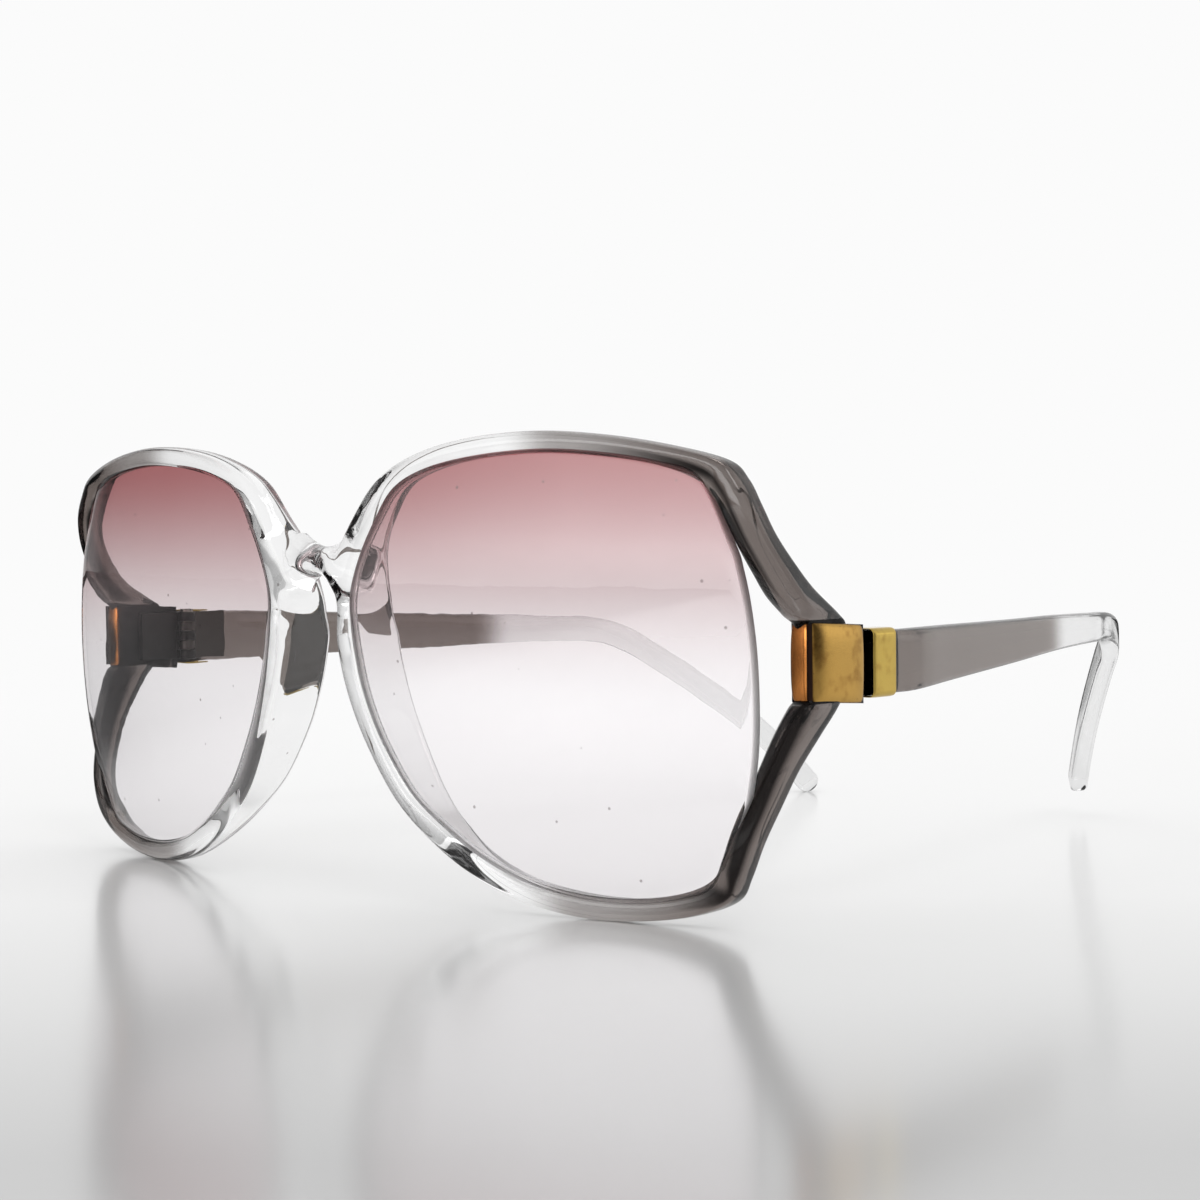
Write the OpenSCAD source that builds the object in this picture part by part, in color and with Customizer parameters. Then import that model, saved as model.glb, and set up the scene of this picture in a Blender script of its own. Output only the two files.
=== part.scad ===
// Oversized sunglasses with reading lenses, moulded in one clear plastic front with open, forked corners.
// Millimetres. X runs across the face, the front looks to -Y, the temples run back to +Y, +Z is up.
// They stand open, as on a table: on the lower rims and on the tip of the left ear-piece.
// The origin is on the table, in the middle of the overall box.

/* [Front] */
// Width of one lens opening
eye_w = 58.7; // [50:0.1:64]
// Height of one lens opening
eye_h = 56; // [50:0.1:62]
// Distance between the two lens openings at the bridge
eye_gap = 18.2; // [17:0.1:24]
// Radius of the ball that the front is curved on
front_r = 211; // [180:1:300]
// Height of the middle of that ball, above the table
crown_z = 39.9; // [34:0.1:44]
// Width of the rim, seen from the front
rim_w = 2.8; // [2.4:0.1:3.4]
// Depth of the rim, front to back
rim_d = 3.75; // [3.4:0.05:4.6]
// Depth of the moulded nose pads, from the front of the rim
pad_d = 10.2; // [7:0.1:12]

/* [Bridge] */
// Height of the dip in the bridge over the nose, above the table
bridge_top = 47.4; // [45:0.1:50]
// Height of the crown of the nose arch, above the table
arch_top = 43.7; // [41:0.1:45]
// Depth of the bridge, front to back
bridge_d = 6.4; // [5:0.1:9]
// How far the bridge bar lies behind the rims
bridge_set = 0.5; // [0.2:0.05:1]

/* [Lenses] */
// Thickness of a lens
lens_t = 1.4; // [1:0.1:1.8]
// How far the lens lies behind the front of the rim
lens_set = 0.9; // [0.6:0.05:1.2]
// Depth of the groove that holds the lens
groove_d = 0.8; // [0.5:0.05:1.1]
// Clearance between a lens and its groove, all round
groove_clear = 0.06; // [0.03:0.01:0.1]

/* [End pieces] */
// Width of an end piece, seen from the front
end_w = 3.3; // [3:0.1:4]
// Depth of an end piece, front to back
end_d = 11.5; // [10:0.1:12.5]
// Height of an end piece
end_h = 9.9; // [9.6:0.1:11]
// How far the struts sweep back from the rim to the end piece
sweep = 7.8; // [6:0.1:8.6]
// How far an end piece drops towards the temple
end_drop = 0.7; // [0:0.1:1]
// Thickness of the gilt trim
trim_t = 0.6; // [0.5:0.05:0.8]
// Width of the groove at the trim's front corner
trim_notch = 0.8; // [0.5:0.1:1.2]

/* [Temples] */
// Length of a temple from the joint to the bend
temple_l = 86.0; // [80:0.1:100]
// Height of a temple at the joint
temple_h = 8.2; // [7.8:0.1:9]
// Thickness of a temple at the joint
temple_t = 2.9; // [2.6:0.1:3]
// How far a temple leans inward from the joint to the bend
toe_in = 16.6; // [10:0.1:20]
// How far the ear-piece runs inward past the bend
ear_in = 23.8; // [16:0.1:25]
// How far the ear-piece runs back past the bend
ear_back = 26.7; // [22:0.1:34]
// How much higher the right ear-piece's tip stands than the left one's, as on the worn pair
ear_lift = 4; // [0:0.5:5]
// Gap between an end piece and its temple
joint_gap = 1.6; // [1.4:0.05:2]
// Length of the gilt sleeve on a temple
sleeve_l = 4.7; // [3:0.1:6]
// Wall of the gilt sleeve
sleeve_t = 0.25; // [0.2:0.05:0.5]

/* [Hinges] */
// Height of a hinge
hinge_h = 7.5; // [6.5:0.1:7.8]
// Thickness of a hinge leaf
leaf_t = 0.9; // [0.7:0.05:1.1]
// Length of a hinge leaf, from its knuckles to its end
leaf_l = 6.6; // [5:0.1:7]
// Radius of a hinge knuckle
knuckle_r = 1.3; // [1.15:0.05:1.4]
// Radius of the hinge screw
screw_r = 0.6; // [0.5:0.05:0.7]
// Radius of the screw's head
head_r = 1.05; // [0.9:0.05:1.2]
// Height of the screw's head
head_h = 0.5; // [0.4:0.05:0.7]
// Width of the slot in the screw's head
slot_w = 0.3; // [0.2:0.05:0.4]
// Clearance round the screw, and between the knuckles
hinge_clear = 0.05; // [0.03:0.01:0.08]

/* [Hidden] */

// Colours
smoke = [0.42, 0.39, 0.38];
clear = [0.86, 0.87, 0.88];
rose = [0.80, 0.60, 0.62];
gilt = [0.80, 0.60, 0.22];
steel = [0.62, 0.63, 0.65];

// Segments on a round surface, steps of the curves between two rows of a table, and turn of the tip's dome
round_fn = 48;
curve_fn = 240;
ring_steps = 3;
temple_steps = 3;
bridge_steps = 11;
dome_steps = 3;
dome_turn = 80;
// Overrun of a cut past what it cuts, and thickness of the slices that the bridge is skinned from
over = 1;
slice_t = 0.05;

// The rim, from the middle of the end piece up its strut, over the lens, down the nose and back below.
// Inner edge across and up the opening; rim width across and up; sweep back; depth; share of a nose pad.
ring_shares = [
    [1.010,  0.538,  0.90,  0.00,  1.07, 1.98, 0.00],
    [1.009,  0.611,  0.93,  0.00,  1.05, 2.32, 0.00],
    [0.997,  0.640,  1.44,  0.09,  0.83, 2.14, 0.00],
    [0.987,  0.681,  1.53,  0.40,  0.56, 1.57, 0.00],
    [0.980,  0.731,  1.41,  0.54,  0.34, 1.31, 0.00],
    [0.967,  0.790,  1.32,  0.60,  0.14, 1.17, 0.00],
    [0.949,  0.847,  1.27,  0.74,  0.03, 1.14, 0.00],
    [0.922,  0.898,  1.26,  0.82,  0.03, 1.12, 0.00],
    [0.884,  0.938,  1.18,  0.88,  0.03, 1.07, 0.00],
    [0.796,  0.974,  0.52,  0.86, -0.04, 1.00, 0.00],
    [0.657,  0.997,  0.31,  0.93, -0.07, 1.00, 0.00],
    [0.512,  1.006,  0.00,  0.99, -0.07, 1.00, 0.00],
    [0.356,  0.995, -0.32,  1.01, -0.04, 1.00, 0.00],
    [0.219,  0.967, -0.55,  0.96,  0.01, 1.02, 0.00],
    [0.131,  0.926, -1.17,  0.73,  0.05, 1.07, 0.05],
    [0.075,  0.848, -1.74,  0.63,  0.05, 1.14, 0.20],
    [0.032,  0.769, -1.91,  0.50,  0.04, 1.19, 0.50],
    [0.003,  0.685, -1.37,  0.11,  0.05, 1.14, 0.90],
    [0.004,  0.610, -1.41, -0.06,  0.05, 1.07, 1.00],
    [0.015,  0.537, -1.44, -0.21,  0.05, 1.05, 1.00],
    [0.037,  0.447, -1.27, -0.26,  0.02, 1.05, 1.00],
    [0.080,  0.342, -1.06, -0.38, -0.01, 1.05, 0.95],
    [0.157,  0.219, -0.92, -0.53, -0.04, 1.05, 0.75],
    [0.249,  0.143, -0.92, -0.88, -0.01, 1.02, 0.40],
    [0.341,  0.083, -0.69, -1.04, -0.01, 1.00, 0.12],
    [0.456,  0.034, -0.33, -1.14,  0.00, 1.00, 0.00],
    [0.589,  0.010, -0.13, -1.16,  0.03, 1.00, 0.00],
    [0.719,  0.009,  0.00, -1.08,  0.02, 1.00, 0.00],
    [0.824,  0.029,  0.26, -1.10,  0.04, 1.00, 0.00],
    [0.888,  0.063,  0.81, -1.05,  0.04, 1.02, 0.00],
    [0.917,  0.110,  1.00, -0.89, -0.01, 1.02, 0.00],
    [0.937,  0.169,  1.17, -0.53,  0.05, 1.05, 0.00],
    [0.957,  0.242,  1.26, -0.36,  0.24, 1.14, 0.00],
    [0.973,  0.312,  1.28, -0.27,  0.45, 1.29, 0.00],
    [0.984,  0.379,  1.44, -0.17,  0.68, 1.57, 0.00],
    [0.999,  0.437,  1.35, -0.05,  0.89, 1.93, 0.00],
    [1.009,  0.467,  0.91,  0.00,  1.09, 1.98, 0.00]];
// First and last row of the table whose rim holds the lens in its groove
groove_first = 8;
groove_last = 29;
// The lens edge where it stands free between the struts, across and up the opening, from top to bottom
free_edge_shares = [
    [0.966, 0.801], [0.985, 0.741], [1.000, 0.664], [1.010, 0.570], [1.012, 0.469],
    [1.007, 0.369], [0.993, 0.279], [0.969, 0.194]];
// Section of the rim from its crown round the nose side and back up the lens side:
// half width to the outer edge; depth in rim depths; depth in the pad's extra depth
section_shares = [
    [ 0.00, 0.00, 0.00], [ 0.58, 0.04, 0.00], [ 0.90, 0.15, 0.00], [ 1.00, 0.34, 0.00],
    [ 1.00, 0.62, 0.10], [ 0.92, 0.88, 0.85], [ 0.58, 0.99, 0.99], [ 0.00, 1.00, 1.00],
    [-0.58, 0.99, 0.99], [-0.92, 0.88, 0.85], [-1.00, 0.62, 0.10], [-1.00, 0.34, 0.00],
    [-0.90, 0.15, 0.00], [-0.58, 0.04, 0.00]];
// How much narrower a full nose pad is at its back edge
pad_taper_share = 0.66;
// The end pieces' inner face across the opening, and their middle up the opening
end_across_share = 1.0084;
end_height_share = 0.5385;
// Half width of the bridge bar, against half the distance between the openings
bridge_half_share = 0.666;
// Rise of the bridge's top and drop of its arch at the bridge's ends, against its half width
bridge_rise_share = 0.42;
arch_drop_share = 0.80;
// Section of the bridge bar: depth from its front, and height up the bar
bridge_shares = [
    [0.00, 0.08], [0.00, 0.52], [0.05, 0.62], [0.45, 0.95], [0.62, 1.00], [0.88, 1.00],
    [1.00, 0.88], [1.00, 0.12], [0.90, 0.00], [0.10, 0.00]];

// The middle of a temple: along its length; lean inward; run of the ear-piece; drop to the table;
// height and thickness of the section
temple_shares = [
    [0.000, 0.00, 0.000, 0.000, 1.00, 1.00],
    [0.070, 0.00, 0.000, 0.000, 0.98, 1.00],
    [0.110, 0.00, 0.000, 0.001, 0.97, 1.00],
    [0.150, 0.03, 0.000, 0.002, 0.95, 0.99],
    [0.250, 0.15, 0.000, 0.006, 0.89, 0.97],
    [0.500, 0.44, 0.000, 0.018, 0.74, 0.93],
    [0.700, 0.67, 0.000, 0.024, 0.62, 0.90],
    [0.870, 0.86, 0.000, 0.038, 0.54, 0.90],
    [0.940, 0.94, 0.015, 0.050, 0.53, 0.93],
    [0.980, 0.98, 0.060, 0.090, 0.53, 0.97],
    [1.000, 1.00, 0.140, 0.165, 0.52, 1.00],
    [1.000, 1.00, 0.280, 0.273, 0.51, 1.00],
    [1.000, 1.00, 0.430, 0.392, 0.51, 1.00],
    [1.000, 1.00, 0.580, 0.520, 0.51, 1.00],
    [1.000, 1.00, 0.730, 0.662, 0.50, 1.00],
    [1.000, 1.00, 0.870, 0.822, 0.49, 1.00],
    [1.000, 1.00, 1.000, 1.000, 0.49, 1.00]];
// Section of a temple, as shares of its half thickness and half height
temple_section_shares = [
    [1.00, -0.60], [1.00, 0.60], [0.86, 0.90], [0.50, 1.00], [-0.50, 1.00], [-0.86, 0.90],
    [-1.00, 0.60], [-1.00, -0.60], [-0.86, -0.90], [-0.50, -1.00], [0.50, -1.00], [0.86, -0.90]];

// Barrels of a hinge, the gap between two of them, and how far a leaf stays clear of them
barrels = 5;
barrel_gap = 2 * hinge_clear;
leaf_start = knuckle_r + 2 * barrel_gap;

// Places that follow from the sizes, with y counted from the front of the curve at the nose
nasal_x = eye_gap / 2;
opening_z = rim_w;
end_x = nasal_x + eye_w * end_across_share;
end_z = opening_z + eye_h * end_height_share;
end_y = front_at(end_x + end_w / 2, end_z) + sweep;
joint_y = end_y + end_d + joint_gap;
bridge_half = nasal_x * bridge_half_share;
temple_x = end_x + temple_t / 2;
tip_r = temple_h * temple_shares[len(temple_shares) - 1][4] / 2;
temple_z = end_z - end_drop;
ear_drop = temple_z - tip_r;
axis_x = end_x - leaf_t - knuckle_r + leaf_t / 2;
axis_y = joint_y - joint_gap / 2;
hinge_z = (end_z + temple_z - hinge_h) / 2;
level_h = (hinge_h - (barrels - 1) * barrel_gap) / barrels;

// Depth of the front's curve at a place across and up the face
function front_at(x, z) = front_r - sqrt(front_r * front_r - x * x - (z - crown_z) * (z - crown_z));

// A smooth curve through b and c, with a and d on either side, at the share t of the way
function between(a, b, c, d, t) =
    (2 * b + (c - a) * t + (2 * a - 5 * b + 4 * c - d) * t * t + (3 * b - a - 3 * c + d) * t * t * t) / 2;

// Rows of a table with smooth rows added between them, closed on itself or open at its ends
function closed_rows(rows, steps) =
    let (n = len(rows))
    [for (i = [0 : n - 1]) for (k = [0 : steps - 1])
        between(rows[(i + n - 1) % n], rows[i], rows[(i + 1) % n], rows[(i + 2) % n], k / steps)];
function open_rows(rows, steps) =
    let (n = len(rows))
    concat([for (i = [0 : n - 2]) for (k = [0 : steps - 1])
        between(rows[max(i - 1, 0)], rows[i], rows[i + 1], rows[min(i + 2, n - 1)], k / steps)],
        [rows[n - 1]]);

// A vector's direction
function unit(v) = v / norm(v);

// Triangles between one ring of m points and the next
function band(i, j, m) =
    [for (k = [0 : m - 1]) each [
        [i * m + k, j * m + k, j * m + (k + 1) % m],
        [i * m + k, j * m + (k + 1) % m, i * m + (k + 1) % m]]];

// The section of the rim at one row of its table
function ring_section(row) =
    let (inner = [nasal_x + row[0] * eye_w, opening_z + row[1] * eye_h],
         across = rim_w * [row[2], row[3]],
         middle = inner + across / 2,
         front = front_at(middle[0], middle[1]) + row[4] * sweep,
         own_d = rim_d * row[5],
         pad = (pad_d - rim_d) * row[6])
    [for (s = section_shares)
        let (narrow = 1 - pad_taper_share * row[6] * s[2],
             place = inner + across * (1 + s[0] * narrow) / 2)
        [place[0], front + s[1] * own_d + s[2] * pad, place[1]]];

// One rim with its nose pad and its two struts, closed through the end piece
ring_rows = closed_rows(ring_shares, ring_steps);
module ring() {
    n = len(ring_rows);
    m = len(section_shares);
    polyhedron(
        points = [for (row = ring_rows) each ring_section(row)],
        faces = [for (i = [0 : n - 1]) each band(i, (i + 1) % n, m)]);
}

// The edge of a lens: in the groove along the rim, and free between the struts
lens_edge = closed_rows(concat(
    [for (i = [groove_first : groove_last])
        let (row = ring_shares[i])
        [nasal_x + row[0] * eye_w, opening_z + row[1] * eye_h] + groove_d * unit([row[2], row[3]])],
    [for (i = [len(free_edge_shares) - 1 : -1 : 0])
        let (row = free_edge_shares[i])
        [nasal_x + row[0] * eye_w, opening_z + row[1] * eye_h]]), ring_steps);

// A sheet bent to the front's ball, with a lens's outline, grown all round by a clearance
module lens_sheet(grow) {
    intersection() {
        rotate([90, 0, 0])
            translate([0, 0, -front_r])
                linear_extrude(height = front_r)
                    if (grow > 0) offset(delta = grow) polygon(lens_edge);
                    else polygon(lens_edge);
        translate([0, front_r + lens_set - grow, crown_z])
            difference() {
                sphere(r = front_r, $fn = curve_fn);
                sphere(r = front_r - lens_t - 2 * grow, $fn = curve_fn);
            }
    }
}

// The outline of the bridge bar at a place across the nose, from a row of its section
function bridge_point(x, s) =
    let (reach = abs(x) / bridge_half,
         low = arch_top - arch_drop_share * bridge_half * reach * reach,
         high = bridge_top + bridge_rise_share * bridge_half * reach * reach,
         z = low + s[1] * (high - low))
    [front_at(x, z) + bridge_set + s[0] * (bridge_d - bridge_set), z];

// The saddle bridge, skinned from slices across the nose
module bridge() {
    for (i = [0 : bridge_steps - 1])
        hull()
            for (k = [i, i + 1])
                let (x = bridge_half * (2 * k / bridge_steps - 1))
                    translate([x - slice_t / 2, 0, 0])
                        rotate([90, 0, 90])
                            linear_extrude(height = slice_t)
                                polygon([for (s = bridge_shares) bridge_point(x, s)]);
}

// A slab of an end piece: its sides drop towards the temple. The places are counted from the inner front edge.
module end_slab(from_x, width, from_y, to_y, high) {
    fall = end_drop / end_d;
    translate([end_x + from_x, end_y, end_z])
        rotate([90, 0, 90])
            linear_extrude(height = width)
                polygon([
                    [from_y, -high / 2 - fall * from_y], [to_y, -high / 2 - fall * to_y],
                    [to_y, high / 2 - fall * to_y], [from_y, high / 2 - fall * from_y]]);
}

// The core of an end piece, behind its gilt trim, where both struts meet
module end_core() {
    end_slab(0, end_w - trim_t, trim_t, end_d, end_h);
}

// The space of the gilt trim, of a given height: a plate on the front and one on the outer side
module trim_space(high) {
    difference() {
        end_slab(0, end_w, 0, end_d, high);
        end_slab(-over, end_w - trim_t + over, trim_t, end_d + over, high + 2 * over);
    }
}

// Both sides of the face from one side
module both_sides() {
    children();
    mirror([1, 0, 0]) children();
}

// One side of the face: 1 for the right of the picture, -1 for the left
module side(sign) {
    if (sign > 0) children();
    else mirror([1, 0, 0]) children();
}

// The part stands in the middle of its overall box
module placed() {
    translate([0, -middle_y, 0]) children();
}

// The one-piece front: two rims, bridge, nose pads, struts and end pieces, grooved for the lenses
module front_frame() {
    color(clear) placed()
        difference() {
            union() {
                bridge();
                both_sides() {
                    ring();
                    end_core();
                }
            }
            both_sides() {
                lens_sheet(groove_clear);
                trim_space(end_h + 3 * groove_clear);
            }
        }
}

// A reading lens, bent to the front's curve
module lens(sign) {
    color(rose) placed() side(sign) lens_sheet(0);
}

// The gilt trim of an end piece, with a dark groove down its front corner
module end_trim(sign) {
    color(gilt) placed() side(sign)
        difference() {
            trim_space(end_h);
            end_slab(end_w - trim_t / 2, trim_t, -over, trim_notch, end_h + 2 * over);
        }
}

// A knuckle of the hinge with its arm to the leaf, at one of its levels; back is 1 for the temple's leaf
module knuckle(level, back) {
    translate([axis_x, axis_y, hinge_z + level * (level_h + barrel_gap)])
        difference() {
            union() {
                cylinder(r = knuckle_r, h = level_h, $fn = round_fn);
                translate([0, back > 0 ? 0 : -leaf_start, 0])
                    cube([end_x - axis_x, leaf_start, level_h]);
            }
            translate([0, 0, -over])
                cylinder(r = screw_r + hinge_clear, h = level_h + 2 * over, $fn = round_fn);
        }
}

// A leaf of the hinge with its knuckles: three on the front's leaf and two on the temple's
module leaf(back) {
    translate([end_x - leaf_t, axis_y + (back > 0 ? leaf_start : -leaf_start - leaf_l), hinge_z])
        cube([leaf_t, leaf_l, hinge_h]);
    for (level = [back > 0 ? 1 : 0 : 2 : barrels - 1])
        knuckle(level, back);
}

// The front's half of a five-barrel hinge, set on the inner face of the end piece
module hinge_front(sign) {
    color(steel) placed() side(sign) leaf(-1);
}

// The temple's half of the hinge, set on the temple's inner face
module hinge_temple(sign) {
    color(steel) placed() side(sign) leaf(1);
}

// The hinge screw, dropped in from above
module hinge_screw(sign) {
    color(steel) placed() side(sign)
        translate([axis_x, axis_y, hinge_z])
            difference() {
                union() {
                    cylinder(r = screw_r, h = hinge_h, $fn = round_fn);
                    translate([0, 0, hinge_h])
                        cylinder(r = head_r, h = head_h, $fn = round_fn);
                }
                translate([-head_r - over, -slot_w / 2, hinge_h + head_h / 2])
                    cube([2 * (head_r + over), slot_w, head_h]);
            }
}

// The middle line of a temple with the size of its section: x, y, z, half thickness, half height.
// Past the hinge the right temple's line climbs a little more than the left one's.
function temple_line(sign) =
    let (fixed = leaf_start + leaf_l,
         climb = sign > 0 ? ear_lift / (temple_l + ear_back - fixed) : 0)
    [for (row = open_rows(temple_shares, temple_steps))
        let (run = temple_l * row[0] + ear_back * row[2])
        [temple_x - toe_in * row[1] - ear_in * row[2],
         joint_y + run,
         temple_z - ear_drop * row[3] + climb * max(run - fixed, 0),
         temple_t * row[5] / 2,
         temple_h * row[4] / 2]];

// The direction of a line at a row, and the directions across it: outward and upward
function along(line, i) =
    let (a = line[max(i - 1, 0)], b = line[min(i + 1, len(line) - 1)])
    unit([b[0] - a[0], b[1] - a[1], b[2] - a[2]]);
function outward(t) = unit([t[1], -t[0], 0]);
function upward(t) = cross(outward(t), t);

// A section of a temple at a place of its line, moved on along it by a step and shrunk by a scale
function temple_section(p, t, step, scale) =
    let (o = outward(t), u = upward(t))
    [for (s = temple_section_shares)
        [p[0], p[1], p[2]] + t * step + o * (s[0] * p[3] * scale) + u * (s[1] * p[4] * scale)];

// The rings of a temple from its butt to its round tip
butt = [0, 1, 0];
function temple_rings(line) =
    let (last = len(line) - 1, tip_way = along(line, last))
    concat(
        [for (i = [0 : last]) temple_section(line[i], i == 0 ? butt : along(line, i), 0, 1)],
        [for (k = [1 : dome_steps])
            let (turn = dome_turn * k / dome_steps)
            temple_section(line[last], tip_way, tip_r * sin(turn), cos(turn))]);

// The middle of the overall box, between the front of the rims and the back of the ear-pieces
middle_y = (min([for (row = ring_rows) for (p = ring_section(row)) p[1]]) +
            max([for (r = temple_rings(temple_line(-1))) for (p = r) p[1]])) / 2;

// A temple in one piece with its ear-piece, ending in a round tip
module temple(sign) {
    rings = temple_rings(temple_line(sign));
    m = len(temple_section_shares);
    n = len(rings);
    color(smoke) placed() side(sign)
        polyhedron(
            points = [for (r = rings) each r],
            faces = concat(
                [for (i = [0 : n - 2]) each band(i + 1, i, m)],
                [[for (k = [m - 1 : -1 : 0]) k], [for (k = [0 : m - 1]) (n - 1) * m + k]]));
}

// The gilt sleeve on the temple's end, open on the side of the hinge
module temple_sleeve(sign) {
    inside_t = temple_t + hinge_clear;
    inside_h = temple_h + 3 * hinge_clear;
    color(gilt) placed() side(sign)
        difference() {
            translate([end_x, joint_y, temple_z - inside_h / 2 - sleeve_t])
                cube([inside_t + sleeve_t, sleeve_l, inside_h + 2 * sleeve_t]);
            translate([end_x - over, joint_y - over, temple_z - inside_h / 2])
                cube([inside_t + over, sleeve_l + 2 * over, inside_h]);
        }
}

front_frame();
lens(1);  // lens_right
lens(-1);  // lens_left
end_trim(1);  // end_trim_right
end_trim(-1);  // end_trim_left
hinge_front(1);  // hinge_front_right
hinge_front(-1);  // hinge_front_left
hinge_screw(1);  // hinge_screw_right
hinge_screw(-1);  // hinge_screw_left
temple(1);  // temple_right
temple(-1);  // temple_left
temple_sleeve(1);  // temple_sleeve_right
temple_sleeve(-1);  // temple_sleeve_left
hinge_temple(1);  // hinge_temple_right
hinge_temple(-1);  // hinge_temple_left
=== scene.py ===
"""Looks of the oversized reading sunglasses: clear and smoke front, rose lenses, gilt trims, folding temples.

Everything is in metres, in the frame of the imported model: X across the face, the front looks to -Y, the temples
run back to +Y, +Z is up. Sizes are written in millimetres and turned into metres once, by MM.
"""
import logging
import math
from dataclasses import dataclass
from enum import Enum
from typing import Any, Callable, Sequence

import bmesh
import bpy
import numpy as np
from mathutils import Matrix


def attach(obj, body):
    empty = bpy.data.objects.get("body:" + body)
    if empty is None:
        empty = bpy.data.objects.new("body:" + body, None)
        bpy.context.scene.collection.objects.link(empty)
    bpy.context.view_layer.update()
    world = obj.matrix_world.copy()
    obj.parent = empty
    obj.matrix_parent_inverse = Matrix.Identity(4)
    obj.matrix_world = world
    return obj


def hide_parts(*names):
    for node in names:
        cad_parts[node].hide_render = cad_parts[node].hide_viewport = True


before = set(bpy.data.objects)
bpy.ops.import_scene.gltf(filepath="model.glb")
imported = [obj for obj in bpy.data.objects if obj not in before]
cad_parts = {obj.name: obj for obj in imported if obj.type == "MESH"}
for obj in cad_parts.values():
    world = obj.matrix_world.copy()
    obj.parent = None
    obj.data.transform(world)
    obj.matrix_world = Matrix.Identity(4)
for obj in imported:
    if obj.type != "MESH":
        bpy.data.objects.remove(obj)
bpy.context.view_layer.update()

LOG = logging.getLogger("sunglasses")
MM = 0.001
PLASTIC_IOR = 1.49
Triple = tuple[float, float, float]  # a colour, a place or a stretch
Pair = tuple[float, float]  # both ends of a span, or a place and its grey
Array, Item, Mesh, Material = np.ndarray, bpy.types.Object, bpy.types.Mesh, bpy.types.Material

# The rim, from the middle of the end piece up its strut, over the lens, down the nose and back below:
# inner edge across and up the opening; rim width across and up; sweep back; depth; share of a nose pad.
RING_ROWS = np.array([
    [1.010, 0.538, 0.90, 0.00, 1.07, 1.98, 0.00], [1.009, 0.611, 0.93, 0.00, 1.05, 2.32, 0.00],
    [0.997, 0.640, 1.44, 0.09, 0.83, 2.14, 0.00], [0.987, 0.681, 1.53, 0.40, 0.56, 1.57, 0.00],
    [0.980, 0.731, 1.41, 0.54, 0.34, 1.31, 0.00], [0.967, 0.790, 1.32, 0.60, 0.14, 1.17, 0.00],
    [0.949, 0.847, 1.27, 0.74, 0.03, 1.14, 0.00], [0.922, 0.898, 1.26, 0.82, 0.03, 1.12, 0.00],
    [0.884, 0.938, 1.18, 0.88, 0.03, 1.07, 0.00], [0.796, 0.974, 0.52, 0.86, -0.04, 1.00, 0.00],
    [0.657, 0.997, 0.31, 0.93, -0.07, 1.00, 0.00], [0.512, 1.006, 0.00, 0.99, -0.07, 1.00, 0.00],
    [0.356, 0.995, -0.32, 1.01, -0.04, 1.00, 0.00], [0.219, 0.967, -0.55, 0.96, 0.01, 1.02, 0.00],
    [0.131, 0.926, -1.17, 0.73, 0.05, 1.07, 0.05], [0.075, 0.848, -1.74, 0.63, 0.05, 1.14, 0.20],
    [0.032, 0.769, -1.91, 0.50, 0.04, 1.19, 0.50], [0.003, 0.685, -1.37, 0.11, 0.05, 1.14, 0.90],
    [0.004, 0.610, -1.41, -0.06, 0.05, 1.07, 1.00], [0.015, 0.537, -1.44, -0.21, 0.05, 1.05, 1.00],
    [0.037, 0.447, -1.27, -0.26, 0.02, 1.05, 1.00], [0.080, 0.342, -1.06, -0.38, -0.01, 1.05, 0.95],
    [0.157, 0.219, -0.92, -0.53, -0.04, 1.05, 0.75], [0.249, 0.143, -0.92, -0.88, -0.01, 1.02, 0.40],
    [0.341, 0.083, -0.69, -1.04, -0.01, 1.00, 0.12], [0.456, 0.034, -0.33, -1.14, 0.00, 1.00, 0.00],
    [0.589, 0.010, -0.13, -1.16, 0.03, 1.00, 0.00], [0.719, 0.009, 0.00, -1.08, 0.02, 1.00, 0.00],
    [0.824, 0.029, 0.26, -1.10, 0.04, 1.00, 0.00], [0.888, 0.063, 0.81, -1.05, 0.04, 1.02, 0.00],
    [0.917, 0.110, 1.00, -0.89, -0.01, 1.02, 0.00], [0.937, 0.169, 1.17, -0.53, 0.05, 1.05, 0.00],
    [0.957, 0.242, 1.26, -0.36, 0.24, 1.14, 0.00], [0.973, 0.312, 1.28, -0.27, 0.45, 1.29, 0.00],
    [0.984, 0.379, 1.44, -0.17, 0.68, 1.57, 0.00], [0.999, 0.437, 1.35, -0.05, 0.89, 1.93, 0.00],
    [1.009, 0.467, 0.91, 0.00, 1.09, 1.98, 0.00]])
GROOVE_ROWS = slice(8, 30)
# Section of the rim: half width to the outer edge; depth in rim depths; depth in the pad's extra depth.
SECTION_ROWS = np.array([
    [0.00, 0.00, 0.00], [0.58, 0.04, 0.00], [0.90, 0.15, 0.00], [1.00, 0.34, 0.00], [1.00, 0.62, 0.10],
    [0.92, 0.88, 0.85], [0.58, 0.99, 0.99], [0.00, 1.00, 1.00], [-0.58, 0.99, 0.99], [-0.92, 0.88, 0.85],
    [-1.00, 0.62, 0.10], [-1.00, 0.34, 0.00], [-0.90, 0.15, 0.00], [-0.58, 0.04, 0.00]])
# The lens edge where it stands free between the struts, across and up the opening, from top to bottom.
FREE_EDGE_ROWS = np.array([
    [0.966, 0.801], [0.985, 0.741], [1.000, 0.664], [1.010, 0.570], [1.012, 0.469],
    [1.007, 0.369], [0.993, 0.279], [0.969, 0.194]])
# Section of the bridge bar: depth from its front, and height up the bar.
BRIDGE_ROWS = np.array([
    [0.00, 0.08], [0.00, 0.52], [0.05, 0.62], [0.45, 0.95], [0.62, 1.00], [0.88, 1.00],
    [1.00, 0.88], [1.00, 0.12], [0.90, 0.00], [0.10, 0.00]])
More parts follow.
